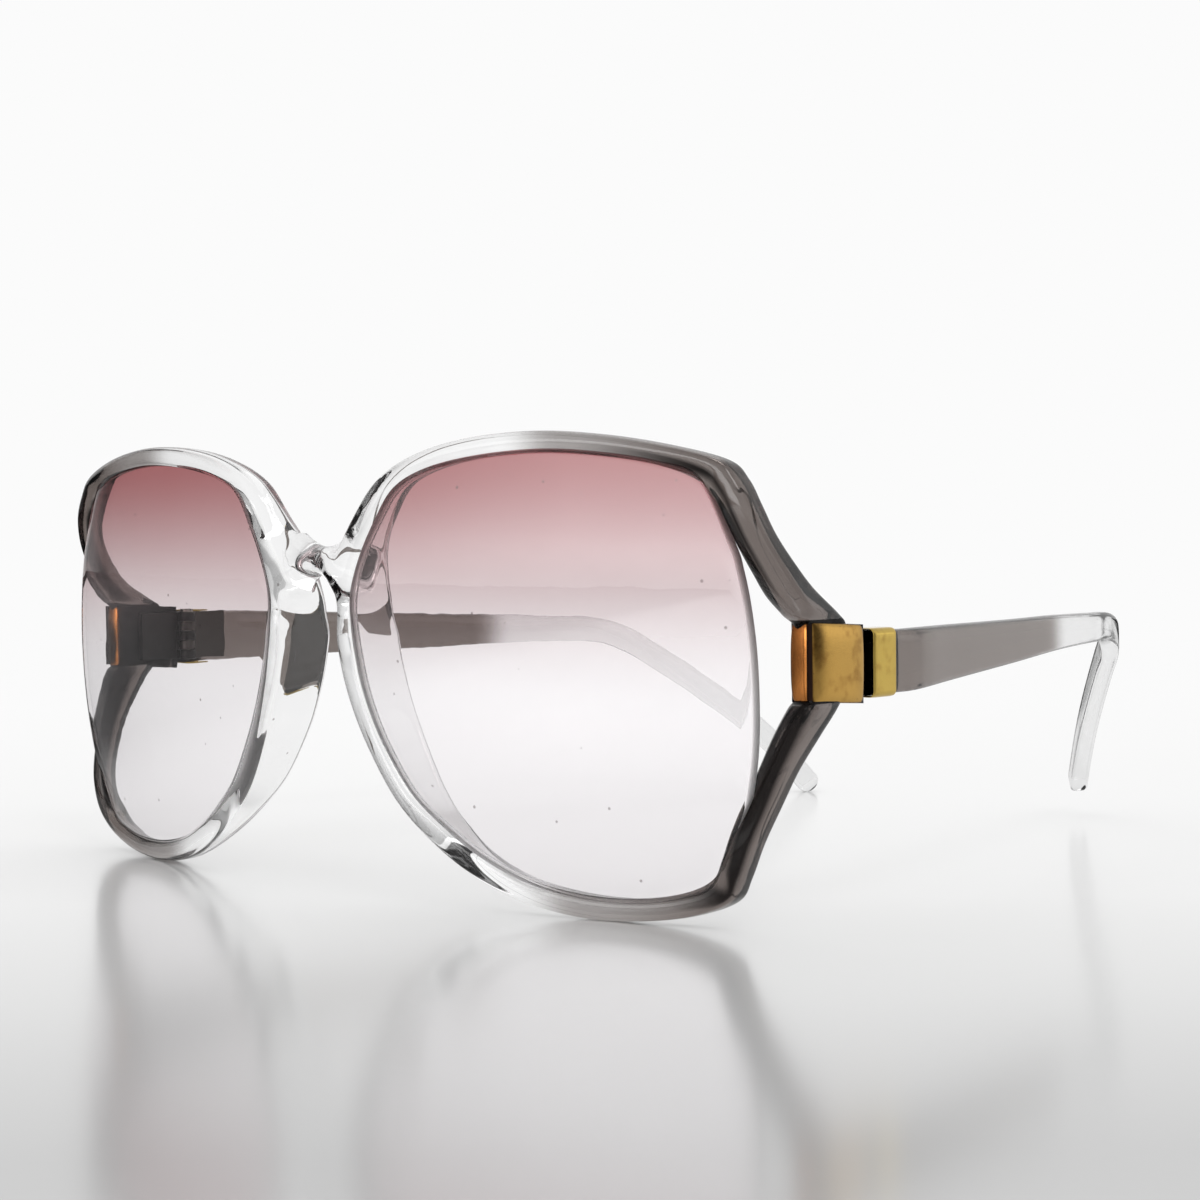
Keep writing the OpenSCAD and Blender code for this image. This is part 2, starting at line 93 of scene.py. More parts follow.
# The middle of a temple: along its length; lean inward; run of the ear-piece; drop; height and thickness.
TEMPLE_ROWS = np.array([
    [0.000, 0.00, 0.000, 0.000, 1.00, 1.00], [0.070, 0.00, 0.000, 0.000, 0.98, 1.00],
    [0.110, 0.00, 0.000, 0.001, 0.97, 1.00], [0.150, 0.03, 0.000, 0.002, 0.95, 0.99],
    [0.250, 0.15, 0.000, 0.006, 0.89, 0.97], [0.500, 0.44, 0.000, 0.018, 0.74, 0.93],
    [0.700, 0.67, 0.000, 0.024, 0.62, 0.90], [0.870, 0.86, 0.000, 0.038, 0.54, 0.90],
    [0.940, 0.94, 0.015, 0.050, 0.53, 0.93], [0.980, 0.98, 0.060, 0.090, 0.53, 0.97],
    [1.000, 1.00, 0.140, 0.165, 0.52, 1.00], [1.000, 1.00, 0.280, 0.273, 0.51, 1.00],
    [1.000, 1.00, 0.430, 0.392, 0.51, 1.00], [1.000, 1.00, 0.580, 0.520, 0.51, 1.00],
    [1.000, 1.00, 0.730, 0.662, 0.50, 1.00], [1.000, 1.00, 0.870, 0.822, 0.49, 1.00],
    [1.000, 1.00, 1.000, 1.000, 0.49, 1.00]])
# Section of a temple, as shares of its half thickness and half height.
TEMPLE_SECTION = np.array([
    [1.00, -0.60], [1.00, 0.60], [0.86, 0.90], [0.50, 1.00], [-0.50, 1.00], [-0.86, 0.90],
    [-1.00, 0.60], [-1.00, -0.60], [-0.86, -0.90], [-0.50, -1.00], [0.50, -1.00], [0.86, -0.90]])


class Side(Enum):
    """The two sides of the face, as seen in the picture; the value turns +X into that side."""

    RIGHT = 1
    LEFT = -1

    @property
    def word(self) -> str:
        """The side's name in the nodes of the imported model."""
        return self.name.lower()


class Fade(Enum):
    """The way a tint fades over its piece."""

    SIDEWAYS = "from the nose to the outer sides"
    BACKWARDS = "along the temple, from the joint to the bend"
    DOWNWARDS = "down the lens"


@dataclass(frozen=True)
class Sizes:
    """The sizes that the solids were made from, in millimetres."""

    eye_w: float = 58.7
    eye_h: float = 56.0
    eye_gap: float = 18.2
    front_r: float = 211.0
    crown_z: float = 39.9
    rim_w: float = 2.8
    rim_d: float = 3.75
    pad_d: float = 10.2
    pad_taper: float = 0.66
    bridge_top: float = 47.4
    arch_top: float = 43.7
    bridge_d: float = 6.4
    bridge_set: float = 0.5
    bridge_half_share: float = 0.666
    bridge_rise: float = 0.42
    arch_drop: float = 0.80
    lens_t: float = 1.4
    lens_set: float = 0.9
    groove_d: float = 0.8
    groove_clear: float = 0.06
    end_w: float = 3.3
    end_d: float = 11.5
    end_h: float = 9.9
    end_drop: float = 0.7
    sweep: float = 7.8
    trim_t: float = 0.6
    trim_notch: float = 0.8
    temple_l: float = 86.0
    temple_h: float = 8.2
    temple_t: float = 2.9
    toe_in: float = 16.6
    ear_in: float = 23.8
    ear_back: float = 26.7
    ear_lift: float = 4.0
    joint_gap: float = 1.6
    sleeve_l: float = 4.7
    sleeve_t: float = 0.25
    fixed_run: float = 8.1
    middle_y: float = 74.1348

    @property
    def nasal_x(self) -> float:
        """Inner edge of a lens opening, across the face."""
        return self.eye_gap / 2

    @property
    def end_x(self) -> float:
        """Inner face of an end piece."""
        return self.nasal_x + self.eye_w * 1.0084

    @property
    def end_z(self) -> float:
        """Middle height of an end piece at its front."""
        return self.rim_w + self.eye_h * 0.5385

    @property
    def end_y(self) -> float:
        """Front face of an end piece, behind the front of the curve."""
        return float(self.ball(np.array(self.end_x + self.end_w / 2), np.array(self.end_z))) + self.sweep

    @property
    def end_fall(self) -> float:
        """How far an end piece drops for each millimetre of its depth."""
        return self.end_drop / self.end_d

    @property
    def joint_y(self) -> float:
        """Butt of a temple."""
        return self.end_y + self.end_d + self.joint_gap

    @property
    def temple_z(self) -> float:
        """Middle height of a temple at its butt."""
        return self.end_z - self.end_drop

    def ball(self, x: Array, z: Array, set_back: float = 0.0, shrink: float = 0.0) -> Array:
        """Depth at x and z of the ball that the front is curved on, set back, with a radius smaller by shrink."""
        r = self.front_r - shrink
        return self.front_r + set_back - np.sqrt(r * r - x * x - (z - self.crown_z) ** 2)


S = Sizes()


# ---------------------------------------------------------------- surfaces


def smooth_rows(rows: Array, steps: int, closed: bool = True) -> Array:
    """Adds smooth rows to a table. Between b and c, with neighbours a and d, each column is the cubic that passes
    through b and c with the slopes (c - a) / 2 and (d - b) / 2.

    Args:
        rows: The table, one row to a station.
        steps: Stations wanted for each row.
        closed: True if the last row runs on to the first.

    Returns:
        The finer table; an open one keeps its last row.
    """
    n = len(rows)
    i = np.arange(n if closed else n - 1)
    if closed:
        a, b, c, d = rows[i - 1], rows[i], rows[(i + 1) % n], rows[(i + 2) % n]
    else:
        a, b, c, d = rows[np.maximum(i - 1, 0)], rows[i], rows[i + 1], rows[np.minimum(i + 2, n - 1)]
    t = (np.arange(steps) / steps)[None, :, None]
    a, b, c, d = a[:, None], b[:, None], c[:, None], d[:, None]
    fine = (2 * b + (c - a) * t + (2 * a - 5 * b + 4 * c - d) * t ** 2 + (3 * b - a - 3 * c + d) * t ** 3) / 2
    fine = fine.reshape(-1, rows.shape[1])
    return fine if closed else np.vstack([fine, rows[-1:]])


def step(value: Array, low: float, high: float) -> Array:
    """A smooth step from 0 at low to 1 at high: with t the way between them, t * t * (3 - 2 * t)."""
    t = np.clip((value - low) / (high - low), 0, 1)
    return t * t * (3 - 2 * t)


def grid_faces(rows: int, columns: int, wrap_rows: bool = False, wrap_columns: bool = True) -> Array:
    """Four-sided faces between the neighbouring rows and columns of a grid of points.

    Args:
        rows: Number of rows of the grid.
        columns: Points in a row.
        wrap_rows: True if the last row joins the first.
        wrap_columns: True if the last column joins the first.

    Returns:
        The corner numbers, four to a face.
    """
    i = np.arange(rows if wrap_rows else rows - 1)[:, None]
    j = np.arange(columns if wrap_columns else columns - 1)[None, :]
    i2, j2 = (i + 1) % rows, (j + 1) % columns
    return np.stack([i * columns + j, i * columns + j2, i2 * columns + j2, i2 * columns + j], -1).reshape(-1, 4)


def direction(v: Array) -> Array:
    """The vectors made one unit long."""
    return v / np.linalg.norm(v, axis=-1, keepdims=True)


def superellipse(count: int, power: float) -> Array:
    """A rounded square of half side one: both |u| and |v| to the power, added, make one.

    Args:
        count: Points round it.
        power: 2 gives a circle, more gives squarer corners.

    Returns:
        The points (u, v), anticlockwise.
    """
    t = np.arange(count) / count * 2 * math.pi
    turn = np.stack([np.cos(t), np.sin(t)], -1)
    return np.sign(turn) * np.abs(turn) ** (2 / power)


def points_of(mesh: Mesh) -> Array:
    """The points of a mesh, in metres."""
    flat = np.empty(len(mesh.vertices) * 3)
    mesh.vertices.foreach_get("co", flat)
    return flat.reshape(-1, 3)


def edge_ends(mesh: Mesh) -> Array:
    """The point numbers at the two ends of each edge of a mesh."""
    flat = np.empty(len(mesh.edges) * 2, np.int32)
    mesh.edges.foreach_get("vertices", flat)
    return flat.reshape(-1, 2)


def mark(mesh: Mesh, shares: Array) -> None:
    """Writes each point's share of dark marking (painted shade, dark end cores, tarnish) into a mesh attribute."""
    mesh.attributes.new("edge_dark", "FLOAT", "POINT").data.foreach_set("value", shares)


def link(name: str, data: bpy.types.ID) -> Item:
    """Puts new data into the scene as an object."""
    item = bpy.data.objects.new(name, data)
    bpy.context.scene.collection.objects.link(item)
    return item


def solid(name: str, side: Side, points: Array, faces: list[list[int]], marks: Array | None = None) -> Item:
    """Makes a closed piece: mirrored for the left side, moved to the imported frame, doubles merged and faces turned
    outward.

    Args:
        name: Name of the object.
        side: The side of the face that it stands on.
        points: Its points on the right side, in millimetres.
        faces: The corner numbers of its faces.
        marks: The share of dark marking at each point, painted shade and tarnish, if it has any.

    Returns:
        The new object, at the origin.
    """
    mesh = bpy.data.meshes.new(name)
    placed = (points.reshape(-1, 3) * [side.value, 1, 1] - [0, S.middle_y, 0]) * MM
    mesh.from_pydata(placed.tolist(), [], faces)
    mesh.validate()
    if marks is not None:
        mark(mesh, marks.ravel())
    work = bmesh.new()
    work.from_mesh(mesh)
    bmesh.ops.remove_doubles(work, verts=work.verts, dist=1e-7)
    bmesh.ops.recalc_face_normals(work, faces=work.faces)
    work.to_mesh(mesh)
    work.free()
    return link(name, mesh)


def tube(name: str, side: Side, rings: Array, closed: bool = False) -> Item:
    """Makes a piece from rings of points joined one to the next, either into a ring or capped at both ends.

    Args:
        name: Name of the object.
        side: The side of the face that it stands on.
        rings: The points, ring by ring.
        closed: True if the last ring joins the first.

    Returns:
        The new object.
    """
    n, m = rings.shape[:2]
    caps = [] if closed else [list(range(m - 1, -1, -1)), list(range((n - 1) * m, n * m))]
    return solid(name, side, rings, grid_faces(n, m, wrap_rows=closed).tolist() + caps)


def at_end(x: Array, y: Array, z: Array) -> Array:
    """Points of the right end piece, from its front's inner middle; it falls in proportion to the depth."""
    x, y, z = np.broadcast_arrays(x, y, z)
    return np.stack([x + S.end_x, y + S.end_y, z - S.end_fall * y + S.end_z], -1)


def nearest(points: Array, others: Array, shares: Array) -> Array:
    """For each point, the share that belongs to the nearest of the other points.

    Args:
        points: The points asked about.
        others: The points with known shares.
        shares: Their shares.

    Returns:
        A share for each of the points.
    """
    found = np.empty(len(points))
    square = (others ** 2).sum(1)
    for start in range(0, len(points), 1000):
        part = points[start:start + 1000]
        found[start:start + 1000] = shares[np.argmin(square - 2 * part @ others.T, 1)]
    return found


def even_out(mesh: Mesh, reach: Callable[[Array], Array], length: float, rounds: int = 3) -> None:
    """Evens the triangles of a part of a mesh: edges over 1.35 times the wanted length are split, ones under 0.35 of
    it are closed, and poor diagonals are turned.

    Args:
        mesh: The mesh.
        reach: Gives, for places in millimetres, a share above 0 where the part is.
        length: The wanted length of an edge in millimetres.
        rounds: How often this is repeated.
    """
    for _ in range(rounds):
        work = bmesh.new()
        work.from_mesh(mesh)
        bmesh.ops.triangulate(work, faces=work.faces)
        work.to_mesh(mesh)
        ends = points_of(mesh)[edge_ends(mesh)] / MM
        chosen = (reach(ends.mean(1)) > 0) & (np.linalg.norm(ends[:, 0] - ends[:, 1], axis=1) > length * 1.35)
        work.edges.ensure_lookup_table()
        bmesh.ops.subdivide_edges(work, edges=[work.edges[i] for i in np.flatnonzero(chosen)], cuts=1)
        bmesh.ops.triangulate(work, faces=work.faces)
        work.to_mesh(mesh)
        inside = np.flatnonzero(reach(points_of(mesh) / MM) > 0)
        work.verts.ensure_lookup_table()
        bmesh.ops.remove_doubles(work, verts=[work.verts[i] for i in inside], dist=length * 0.35 * MM)
        work.to_mesh(mesh)
        inside = set(np.flatnonzero(reach(points_of(mesh) / MM) > 0).tolist())
        work.verts.index_update()
        faces = [f for f in work.faces if inside.issuperset(v.index for v in f.verts)]
        edges = list(dict.fromkeys(e for f in faces for e in f.edges))
        bmesh.ops.beautify_fill(work, faces=faces, edges=edges, method="ANGLE")
        work.to_mesh(mesh)
        work.free()


def melt(mesh: Mesh, weight: Array, rounds: int) -> None:
    """Rounds off the creases between united solids: in each round a point moves to the mean of its neighbours,
    by its own weight.

    Args:
        mesh: The mesh.
        weight: How far each point follows its neighbours, 0 to 1.
        rounds: How many times.
    """
    ends, place = edge_ends(mesh), points_of(mesh)
    a, b = ends.T
    count = np.maximum(np.bincount(ends.ravel(), minlength=len(place)), 1)[:, None]
    for _ in range(rounds):
        total = np.zeros_like(place)
        np.add.at(total, a, place[b])
        np.add.at(total, b, place[a])
        place = place + (total / count - place) * weight[:, None]
    mesh.vertices.foreach_set("co", place.ravel())
    mesh.update()


def combine(base: Item, others: Sequence[Item], operation: str) -> None:
    """Unites a base with other solids, or cuts them out of it, and removes the others.

    Args:
        base: The object that keeps the result.
        others: The solids that are used up.
        operation: UNION or DIFFERENCE.
    """
    for other in others:
        cut = base.modifiers.new(operation.lower(), "BOOLEAN")
        cut.operation, cut.object, cut.solver = operation, other, "MANIFOLD"
    graph = bpy.context.evaluated_depsgraph_get()
    mesh = bpy.data.meshes.new_from_object(base.evaluated_get(graph))
    base.modifiers.clear()
    base.data = mesh
    for other in others:
        bpy.data.objects.remove(other)


# ---------------------------------------------------------------- shader maths


def math_method(operation: str, flipped: bool = False) -> Callable[..., "Wire"]:
    """Makes a method of Wire that adds a Math node.

    Args:
        operation: What the node works out.
        flipped: True if the wire is the second term.

    Returns:
        The method.
    """
    def method(self: "Wire", *other: Any) -> "Wire":
        """Adds the Math node for this wire and the other term."""
        return self.bench.sum(operation, *((*other, self) if flipped else (self, *other)))
    return method


class Wire:
    """A socket that takes part in sums: an expression on wires adds the Math nodes that work it out."""

    __add__, __radd__ = math_method("ADD"), math_method("ADD", True)
    __sub__, __rsub__ = math_method("SUBTRACT"), math_method("SUBTRACT", True)
    __mul__, __truediv__, __abs__ = math_method("MULTIPLY"), math_method("DIVIDE"), math_method("ABSOLUTE")
    at_least, at_most = math_method("MAXIMUM"), math_method("MINIMUM")

    def __init__(self, bench: "Bench", socket: bpy.types.NodeSocket) -> None:
        """Wraps a socket of a bench."""
        self.bench, self.socket = bench, socket

    def between(self, low: float, high: float) -> "Wire":
        """0 below low, 1 above high, and a smooth step between; the other way round where low is the larger."""
        return self.bench.wire("MapRange", {"Value": self, "From Min": low, "From Max": high}, "Result",
                               interpolation_type="SMOOTHSTEP")


class Bench:
    """Where the nodes of one material or world are set out."""

    def __init__(self, tree: bpy.types.NodeTree) -> None:
        """Clears a node tree and takes it over."""
        self.tree = tree
        tree.nodes.clear()

    def node(self, kind: str, inputs: dict[Any, Any] | None = None, **settings: Any) -> bpy.types.Node:
        """Adds a node.

        Args:
            kind: The node's type, without the word ShaderNode before it.
            inputs: Values, sockets or wires for its sockets, by name or number.
            settings: Its own properties, set first; stops fills a colour ramp.

        Returns:
            The node.
        """
        made = self.tree.nodes.new("ShaderNode" + kind)
        stops = settings.pop("stops", None)
        for key, value in settings.items():
            setattr(made, key, value)
        if stops:
            ramp = made.color_ramp
            while len(ramp.elements) < len(stops):
                ramp.elements.new(0.5)
            for element, (place, grey) in zip(ramp.elements, stops):
                element.position, element.color = place, (grey, grey, grey, 1.0)
        for key, value in (inputs or {}).items():
            target, value = made.inputs[key], getattr(value, "socket", value)
            if isinstance(value, bpy.types.NodeSocket):
                self.tree.links.new(value, target)
            else:
                target.default_value = (*value, 1.0) if target.type == "RGBA" and len(value) == 3 else value
        return made

    def wire(self, kind: str, inputs: dict[Any, Any] | None = None, output: int | str = 0, **settings: Any) -> Wire:
        """Adds a node and takes up one of its outputs."""
        return Wire(self, self.node(kind, inputs, **settings).outputs[output])

    def sum(self, operation: str, *terms: Any) -> Wire:
        """A Math node on up to three terms."""
        return self.wire("Math", dict(enumerate(terms)), operation=operation)

    def split(self, vector: Wire) -> list[Wire]:
        """The three parts of a vector."""
        return [Wire(self, part) for part in self.node("SeparateXYZ", {0: vector}).outputs]

    def axes(self) -> list[Wire]:
        """The object's own coordinates in millimetres, as three wires."""
        return [part * (1 / MM) for part in self.split(self.wire("TexCoord", None, "Object"))]

    def place(self, stretch: Triple = (1, 1, 1)) -> Wire:
        """The object's own coordinates, in millimetres, stretched by a factor along each axis."""
        own = self.wire("TexCoord", None, "Object")
        return self.wire("Mapping", {"Vector": own, "Scale": [factor / MM for factor in stretch]})

    def noise(self, per_mm: float, detail: float = 3.0, stretch: Triple = (1, 1, 1)) -> Wire:
        """Soft noise, 0 to 1, with so many waves to a millimetre."""
        return self.wire("TexNoise", {"Vector": self.place(stretch), "Scale": per_mm, "Detail": detail})

    def specks(self, per_mm: float, size: float, chance: float) -> Wire:
        """Small round specks: 1 at the middle of some cells of a cell pattern, 0 away from it.

        Args:
            per_mm: Cells to a millimetre.
            size: Radius of a speck, in cells.
            chance: Share of the cells that have one.

        Returns:
            The specks' mask.
        """
        cells = self.node("TexVoronoi", {"Vector": self.place(), "Scale": per_mm}).outputs
        pick = self.wire("SeparateColor", {0: cells["Color"]})
        return Wire(self, cells["Distance"]).between(size, size * 0.4) * pick.between(1 - chance, 1 - chance + 0.01)

    def blend(self, factor: Any, first: Any, second: Any) -> Wire:
        """A colour between two, by a factor."""
        return self.wire("Mix", {"Factor": factor, 6: first, 7: second}, 2, data_type="RGBA")

    def mix(self, factor: Any, first: Wire, second: Wire) -> Wire:
        """A shader between two, by a factor."""
        return self.wire("MixShader", {0: factor, 1: first, 2: second})

    def bump(self, height: Wire, depth: float, strength: float) -> Wire:
        """A Bump node that takes a height of 0 to 1 as so many millimetres."""
        return self.wire("Bump", {"Height": height, "Distance": depth * MM, "Strength": strength}, "Normal")

    def edge(self) -> Wire:
        """The share of dark marking that the mesh carries: painted shade, dark end cores and tarnish."""
        return self.wire("Attribute", None, "Fac", attribute_name="edge_dark")


def new_material(name: str, shade: Callable[[Bench], Wire]) -> Material:
    """A material with the shader that a function sets out on its bench."""
    material = bpy.data.materials.new(name)
    material.use_nodes = True
    bench = Bench(material.node_tree)
    bench.node("OutputMaterial", {"Surface": shade(bench)})
    return material


def darker(colour: Triple, share: float) -> Triple:
    """A share of a colour."""
    return tuple(part * share for part in colour)


# ---------------------------------------------------------------- finishes


@dataclass(frozen=True)
class Finish:
    """A procedural finish; each kind sets out its own shader."""

    name: str

    def shade(self, b: Bench) -> Wire:
        """The finish's shader."""
        raise NotImplementedError

    def make(self) -> Material:
        """The material with this finish."""
        return new_material(self.name, self.shade)


@dataclass(frozen=True)
class TintedPlastic(Finish):
    """Polished see-through plastic whose tint fades over the piece.

    The slants are spans of the Facing weight: painted shade darkens inner faces over inner_slant and outer ones over
    outer_slant, and the painted black of the marked edges fades out over band_slant. A mark above 1 stays black from
    every side.
    """

    fade: Fade
    pale: Triple
    deep: Triple
    start: float
    stop: float
    roughness: float = 0.015
    rim_shade: float = 0.0
    clear_shade: float = 0.42
    inner_slant: Pair = (0.27, 0.55)
    outer_slant: Pair = (0.72, 1.0)
    band_slant: Pair = (0.17, 0.36)
    band_black: float = 0.94
    core_gain: float = 1.67
    first_run: float = 0.28
    first_share: float = 0.76

    def tint(self, bench: Bench) -> Wire:
        """Works out how deep the tint is at each place, 0 to 1.

        Args:
            bench: The material's bench.

        Returns:
            The share of the deep tint.
        """
        x, y, z = bench.axes()
        ripple = (bench.noise(0.09) - 0.5) * 3.0
        if self.fade is Fade.SIDEWAYS:
            out = abs(x) + ripple * 0.5
            first = self.start + (self.stop - self.start) * self.first_run
            quick, slow = out.between(self.start, first), out.between(first, self.stop)
            return quick * self.first_share + slow * (1 - self.first_share)
        if self.fade is Fade.BACKWARDS:
            return (y + ripple).between(self.stop, self.start)
        return (z + ripple * 0.3).between(self.start, self.stop)

    def shade(self, b: Bench) -> Wire:
        """Sets out the plastic with dust and scuffs; with a rim shade, also painted shade for the light that its
        section loses, and painted black on its marked edges.

        Args:
            b: The material's bench.

        Returns:
            The shader.
        """
        tint = self.tint(b)
        colour = b.blend(tint, self.pale, self.deep)
        colour = b.blend(b.specks(0.24, 0.075, 0.5) * 0.85, colour, (0.12, 0.09, 0.085))
        scuffs = b.noise(0.8, 5.0, (1.0, 1.0, 5.0)).between(0.55, 0.75)
        normal = b.bump(b.noise(0.12, 2.0), 0.05, 0.35)
        body = b.wire("BsdfPrincipled", {
            "Base Color": colour, "Roughness": self.roughness + scuffs * 0.03, "IOR": PLASTIC_IOR,
            "Transmission Weight": 1.0, "Normal": normal})
        if not self.rim_shade:
            return body
        # painted shade: near-black is mixed in by the slant of each face, for the dark of internal reflection
        slant = b.wire("LayerWeight", {"Blend": 0.5, "Normal": normal}, "Facing")
        inside = b.wire("NewGeometry", None, "Backfacing")
        amount = self.clear_shade + tint * (self.rim_shade - self.clear_shade)
        painted_inner_shade = inside * slant.between(*self.inner_slant) * amount
        painted_glance_shade = (1 - inside) * slant.between(*self.outer_slant) * amount * 0.5
        body = b.mix(painted_inner_shade + painted_glance_shade, body, b.wire("BsdfDiffuse", {"Color": (0.008, 0.007, 0.007)}))
        # painted shade: marked strut edges go black seen face-on, less from inside; end cores' marks above 1 stay
        # black
        core = (b.edge() - 1).at_least(0.0) * self.core_gain
        band = b.edge().at_most(1.0) * (1 - slant.between(*self.band_slant)) * (1 - inside * 0.8)
        black = b.wire("BsdfPrincipled", {
            "Base Color": (0.006, 0.005, 0.005), "Roughness": 0.10, "IOR": 1.12, "Normal": normal})
        return b.mix((band + core).at_most(1.0) * self.band_black, body, black)


@dataclass(frozen=True)
class Gilt(Finish):
    """Gilt metal: polished, with a warm darker patina, pits, fine scratches and painted shade and tarnish on edges."""

    bright: Triple
    worn: Triple

    def shade(self, b: Bench) -> Wire:
        """Sets out the gilt.

        Args:
            b: The material's bench.

        Returns:
            The shader.
        """
        patina = b.noise(0.40, 5.0).between(0.50, 0.72)
        streaks = b.noise(1.1, 4.0, (1.0, 4.0, 0.5)).between(0.45, 0.75)
        pits = b.specks(1.5, 0.13, 0.50)
        scratches = b.noise(3.0, 4.0, (0.6, 0.6, 9.0))
        colour = b.blend(patina * 0.5 + streaks * 0.08, self.bright, self.worn)
        colour = b.blend(pits * 0.9, colour, darker(self.worn, 0.5))
        # painted dark shade round the plates' edges, and tarnish on the side plate's front edge
        edge_shade_and_tarnish = b.edge() * (0.65 + b.noise(1.6, 4.0) * 0.6)
        return b.wire("BsdfPrincipled", {
            "Base Color": b.blend(edge_shade_and_tarnish, colour, darker(self.worn, 0.25)), "Metallic": 1.0 - pits * 0.4,
            "Roughness": 0.05 + streaks * 0.05 + patina * 0.05, "Normal": b.bump(scratches * 0.5 - pits, 0.02, 0.5)})


@dataclass(frozen=True)
class HingeMetal(Finish):
    """Brushed metal of the hinges and screws."""

    colour: Triple

    def shade(self, b: Bench) -> Wire:
        """Sets out the metal.

        Args:
            b: The material's bench.

        Returns:
            The shader.
        """
        brushing = b.noise(2.0, 4.0, (0.3, 0.3, 9.0))
        stain = b.noise(0.6).between(0.5, 0.8)
        return b.wire("BsdfPrincipled", {
            "Base Color": b.blend(stain * 0.5, self.colour, darker(self.colour, 0.45)), "Metallic": 1.0,
            "Roughness": 0.24 + brushing * 0.2, "Normal": b.bump(brushing, 0.01, 0.4)})


@dataclass(frozen=True)
class GroundEdge(Finish):
    """The ground edge of a lens: pale and dull, with the lens's own rose at the top."""

    low: Triple = (0.93, 0.90, 0.90)
    high: Triple = (0.36, 0.19, 0.19)

    def shade(self, b: Bench) -> Wire:
        """Sets out the edge.

        Args:
            b: The material's bench.

        Returns:
            The shader.
        """
        grit = b.noise(6.0)
        height = b.axes()[2] + (grit - 0.5) * 4.0
        return b.wire("BsdfPrincipled", {
            "Base Color": b.blend(height.between(24.0, 58.0), self.low, self.high), "Roughness": 0.35 + grit * 0.3,
            "IOR": PLASTIC_IOR, "Transmission Weight": 0.82, "Normal": b.bump(grit, 0.02, 0.5)})


@dataclass(frozen=True)
class DarkLacquer(Finish):
    """Black-brown lacquer in the groove between the gilt plates."""

    def shade(self, b: Bench) -> Wire:
        """Grainy lacquer that shines little."""
        grain = b.noise(1.5, 4.0)
        colour = b.blend(grain, (0.006, 0.004, 0.003), (0.030, 0.012, 0.008))
        return b.wire("BsdfPrincipled", {"Base Color": colour, "Roughness": 0.5 + grain * 0.3, "IOR": 1.10})


# ---------------------------------------------------------------- sub-assemblies


class Outfit:
    """The finishes that the pieces are dressed in."""

    def __init__(self) -> None:
        """Makes each material once."""
        self.front = TintedPlastic("clear_to_smoke", Fade.SIDEWAYS, (0.93, 0.93, 0.93), (0.160, 0.133, 0.122),
                                   34.0, 62.0, rim_shade=0.82).make()
        self.temple = TintedPlastic("smoke_to_clear", Fade.BACKWARDS, (0.82, 0.82, 0.82), (0.178, 0.149, 0.135),
                                    15.0, 22.7, rim_shade=0.8).make()
        self.lens = TintedPlastic("rose_tint", Fade.DOWNWARDS, (0.94, 0.915, 0.93), (0.39, 0.137, 0.143),
                                  26.5, 61.0, roughness=0.0).make()
        # front plates' gilt: darker, more orange; partly patina, partly painted shade for the darker room they mirror
        self.shaded_front_gilt = Gilt("amber_gilt", (0.40, 0.155, 0.040), (0.16, 0.045, 0.010)).make()
        self.side_gilt = Gilt("gold_gilt", (0.47, 0.28, 0.070), (0.20, 0.085, 0.015)).make()
        self.sleeve_gilt = Gilt("pale_gilt", (0.52, 0.37, 0.090), (0.22, 0.10, 0.02)).make()
        self.steel = HingeMetal("hinge_steel", (0.030, 0.028, 0.027)).make()
        self.leaf = HingeMetal("leaf_bronze", (0.07, 0.062, 0.057)).make()
        self.screw = HingeMetal("screw_steel", (0.30, 0.28, 0.25)).make()
        self.ground = GroundEdge("ground_lens_edge").make()
        self.lacquer = DarkLacquer("dark_lacquer").make()


def dress(item: Item, *materials: Material) -> None:
    """Gives a piece its materials in place of any it has, and logs its size."""
    item.data.materials.clear()
    for material in materials:
        item.data.materials.append(material)
    LOG.info("%-22s %6d points %6d faces", item.name, len(item.data.vertices), len(item.data.polygons))


def settle(item: Item, body: str, node: str, slot: str, angle: float, *materials: Material) -> None:
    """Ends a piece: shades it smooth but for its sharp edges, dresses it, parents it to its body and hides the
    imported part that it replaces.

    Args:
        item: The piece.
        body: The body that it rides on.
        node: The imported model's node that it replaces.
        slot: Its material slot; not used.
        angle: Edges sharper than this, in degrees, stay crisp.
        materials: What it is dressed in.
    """
    item.data.shade_smooth()
    item.data.set_sharp_from_angle(angle=math.radians(angle))
    dress(item, *materials)
    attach(item, body)
    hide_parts(node)


